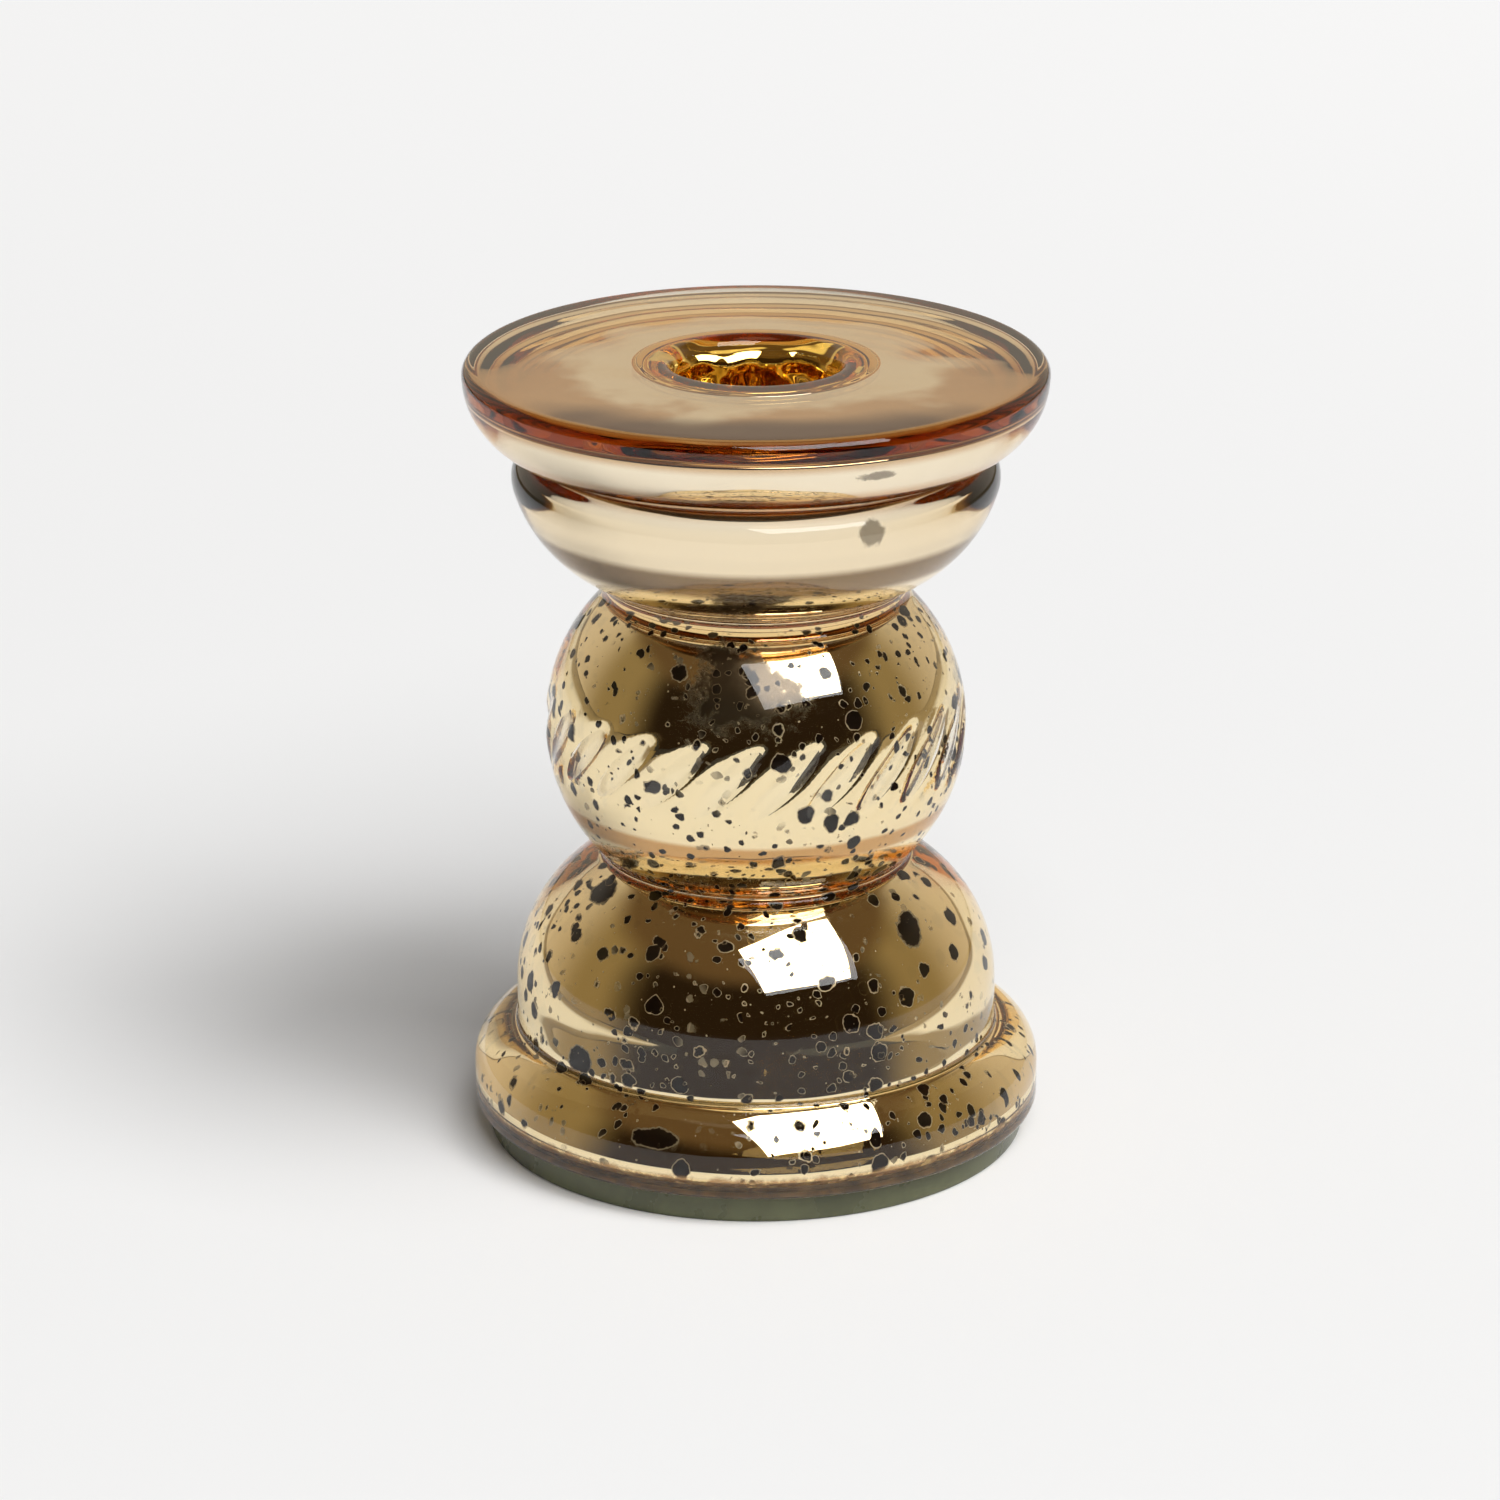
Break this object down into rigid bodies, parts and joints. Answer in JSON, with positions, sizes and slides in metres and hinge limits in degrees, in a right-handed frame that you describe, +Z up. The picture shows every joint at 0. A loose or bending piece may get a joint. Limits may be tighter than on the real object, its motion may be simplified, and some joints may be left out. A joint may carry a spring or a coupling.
{
  "type": "candle holder",
  "caption": "Blown glass candle holder, silvered gold inside: wide flat rim with a candle well, bowl, ball with a belt of slanting flutes, domed foot and a glued glass base disc.",
  "frame": {"origin": "centre of the resting face of the base disc", "axes": "+Z up along the axis of the holder, out of the candle well; the flutes repeat round it, so X and Y are free"},
  "size_m": [0.085, 0.085, 0.118],
  "materials": {
    "clear_glass": "polished, blown",
    "gold_mirror": "gold-toned silvering, specked with dark spots below the bowl",
    "glue": "clear glue, stained brown at the edge",
    "green_glass": "float glass, ground edge"
  },
  "bodies": {
    "root": {"glass_body": "clear_glass", "mirror_lining": "gold_mirror", "glue_ring": "glue", "base_disc": "green_glass"}
  },
  "joints": []
}
